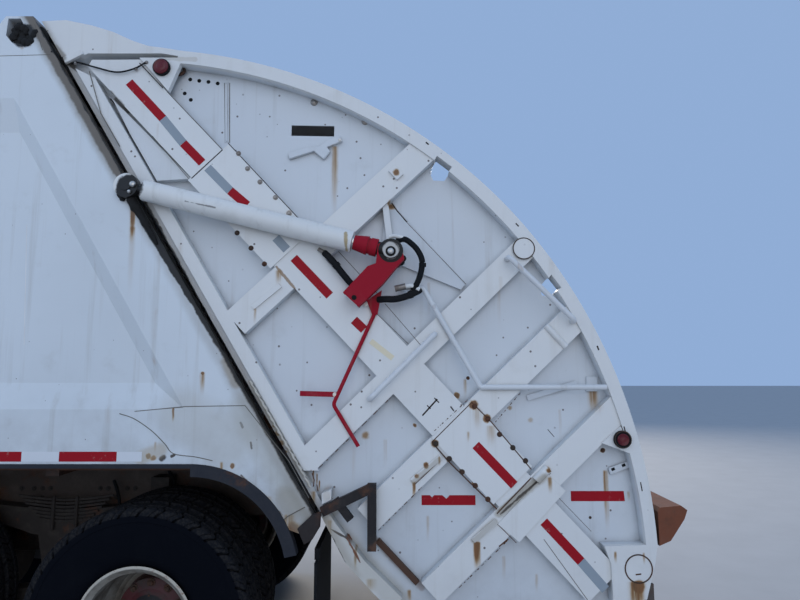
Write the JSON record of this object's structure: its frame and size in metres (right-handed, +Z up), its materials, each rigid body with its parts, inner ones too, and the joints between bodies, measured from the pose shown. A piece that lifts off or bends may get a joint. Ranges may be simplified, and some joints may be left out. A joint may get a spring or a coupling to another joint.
{
  "type": "rear-loading garbage truck",
  "caption": "White rear-loading garbage truck with a sloping ribbed tailgate, lift cylinders and a bonneted cab on three axles.",
  "frame": {"origin": "on the ground, in the middle of the truck's length and width", "axes": "+X to the rear, -Y to the truck's left side, +Z up"},
  "size_m": [9.46, 2.6, 3.4],
  "materials": {
    "paint_frame": "matte",
    "steel_bare": "worn",
    "iron": "matte",
    "paint_white": "satin",
    "window_glass": "clear",
    "trim_grey": "matte",
    "rubber_black": "matte",
    "hood_white": "satin",
    "alloy": "satin",
    "lamp_clear": "gloss",
    "paint_brown": "matte",
    "lamp_red": "gloss",
    "paint_red": "satin",
    "chrome_rod": "polished",
    "tyre_rubber": "matte"
  },
  "bodies": {
    "truck": {"chassis_frame": "paint_frame", "front_bumper": "steel_bare", "tow_eyes": "steel_bare", "drivetrain": "iron", "front_axle": "paint_frame", "rear_bogie": "iron", "fuel_tank": "paint_frame", "battery_box": "paint_frame", "exhaust_stack": "steel_bare", "cab_shell": "paint_white", "cab_windows": "window_glass", "cab_interior": "trim_grey", "body_side_right": "paint_white", "body_side_left": "paint_white", "body_floor": "paint_frame", "body_roof": "paint_white", "body_front": "paint_white", "mudflaps": "rubber_black", "arch_flanges": "rubber_black"},
    "hood": {"hood": "hood_white", "grille": "alloy", "headlamps": "lamp_clear"},
    "door_left": {"door_left": "paint_white", "door_glass_left": "window_glass"},
    "door_right": {"door_right": "paint_white", "door_glass_right": "window_glass"},
    "knuckle_left": {"knuckle_left": "iron"},
    "knuckle_right": {"knuckle_right": "iron"},
    "tailgate": {"tailgate_side_right": "paint_white", "tailgate_side_left": "paint_white", "hopper_trough": "paint_brown", "loading_sill": "paint_brown", "tailgate_cover": "paint_white", "slide_barrels": "paint_frame", "tailgate_lamps": "lamp_red", "grab_rails": "paint_white", "lock_levers": "paint_red", "latch_frames": "iron", "riding_steps": "paint_frame"},
    "carriage": {"carriage": "paint_frame"},
    "blade": {"sweep_blade": "paint_brown"},
    "sweep_barrels": {"sweep_barrels": "steel_bare"},
    "sweep_rods": {"sweep_rods": "chrome_rod"},
    "lift_barrels": {"lift_barrels": "steel_bare"},
    "lift_rods": {"lift_rods": "chrome_rod", "safety_locks": "paint_red"},
    "ejector": {"ejector_panel": "paint_brown"},
    "front_wheel_left": {"front_tyre_left": "tyre_rubber", "front_rim_left": "paint_white"},
    "mid_wheels_left": {"mid_tyres_left": "tyre_rubber", "mid_rims_left": "paint_white"},
    "rear_wheels_left": {"rear_tyres_left": "tyre_rubber", "rear_rims_left": "paint_white"},
    "front_wheel_right": {"front_tyre_right": "tyre_rubber", "front_rim_right": "paint_white"},
    "mid_wheels_right": {"mid_tyres_right": "tyre_rubber", "mid_rims_right": "paint_white"},
    "rear_wheels_right": {"rear_tyres_right": "tyre_rubber", "rear_rims_right": "paint_white"}
  },
  "joints": [
    {"name": "steer_left", "type": "hinge", "parent": "truck", "child": "knuckle_left", "pos_m": [-3.7, -0.88, 0.52], "axis": [0, 0, 1], "range_deg": [-35, 35]},
    {"name": "spin_front_left", "type": "hinge", "parent": "knuckle_left", "child": "front_wheel_left", "pos_m": [-3.7, -1.055, 0.52], "axis": [0, 1, 0], "continuous": true},
    {"name": "spin_mid_left", "type": "hinge", "parent": "truck", "child": "mid_wheels_left", "pos_m": [0.868, -0.9225, 0.52], "axis": [0, 1, 0], "continuous": true},
    {"name": "spin_rear_left", "type": "hinge", "parent": "truck", "child": "rear_wheels_left", "pos_m": [2.238, -0.9225, 0.52], "axis": [0, 1, 0], "continuous": true},
    {"name": "door_left_swing", "type": "hinge", "parent": "truck", "child": "door_left", "pos_m": [-3.116, -1.001, 1.7], "axis": [0, 0, -1], "range_deg": [0, 65]},
    {"name": "steer_right", "type": "hinge", "parent": "truck", "child": "knuckle_right", "pos_m": [-3.7, 0.88, 0.52], "axis": [0, 0, 1], "range_deg": [-35, 35]},
    {"name": "spin_front_right", "type": "hinge", "parent": "knuckle_right", "child": "front_wheel_right", "pos_m": [-3.7, 1.055, 0.52], "axis": [0, 1, 0], "continuous": true},
    {"name": "spin_mid_right", "type": "hinge", "parent": "truck", "child": "mid_wheels_right", "pos_m": [0.868, 0.9225, 0.52], "axis": [0, 1, 0], "continuous": true},
    {"name": "spin_rear_right", "type": "hinge", "parent": "truck", "child": "rear_wheels_right", "pos_m": [2.238, 0.9225, 0.52], "axis": [0, 1, 0], "continuous": true},
    {"name": "door_right_swing", "type": "hinge", "parent": "truck", "child": "door_right", "pos_m": [-3.116, 1.001, 1.7], "axis": [0, 0, 1], "range_deg": [0, 65]},
    {"name": "hood_tilt", "type": "hinge", "parent": "truck", "child": "hood", "pos_m": [-4.62, 0, 0.87], "axis": [0, -1, 0], "range_deg": [0, 65]},
    {"name": "tailgate_lift", "type": "hinge", "parent": "truck", "child": "tailgate", "pos_m": [1.534, 0, 3.319], "axis": [0, -1, 0], "range_deg": [0, 60]},
    {"name": "lift_barrel_swing", "type": "hinge", "parent": "truck", "child": "lift_barrels", "pos_m": [2.124, 0, 2.527], "axis": [0, -1, 0], "range_deg": [0, 69.5]},
    {"name": "lift_rod_slide", "type": "slide", "parent": "lift_barrels", "child": "lift_rods", "axis": [0.9698, 0, -0.2438], "range_m": [0, 0.956]},
    {"name": "carriage_slide", "type": "slide", "parent": "tailgate", "child": "carriage", "axis": [0.6875, 0, -0.7262], "range_m": [0, 0.9]},
    {"name": "blade_sweep", "type": "hinge", "parent": "carriage", "child": "blade", "pos_m": [3.23795, 0, 1.85415], "axis": [0, -1, 0], "range_deg": [0, 90]},
    {"name": "sweep_barrel_swing", "type": "hinge", "parent": "carriage", "child": "sweep_barrels", "pos_m": [2.74801, 0, 2.5608], "axis": [0, -1, 0], "range_deg": [0, 6.2]},
    {"name": "sweep_rod_slide", "type": "slide", "parent": "sweep_barrels", "child": "sweep_rods", "axis": [0.6808, 0, -0.7325], "range_m": [-0.318, 0]},
    {"name": "ejector_slide", "type": "slide", "parent": "truck", "child": "ejector", "axis": [1, 0, 0], "range_m": [0, 2.9]}
  ],
  "couplings": [
    {"joint": "steer_right", "follows": "steer_left", "ratio": 1},
    {"joint": "lift_barrel_swing", "follows": "tailgate_lift", "ratio": 1.1499},
    {"joint": "lift_rod_slide", "follows": "tailgate_lift", "m_per_rad": 0.90799},
    {"joint": "sweep_barrel_swing", "follows": "blade_sweep", "ratio": 0.06323},
    {"joint": "sweep_rod_slide", "follows": "blade_sweep", "m_per_rad": -0.19954}
  ]
}
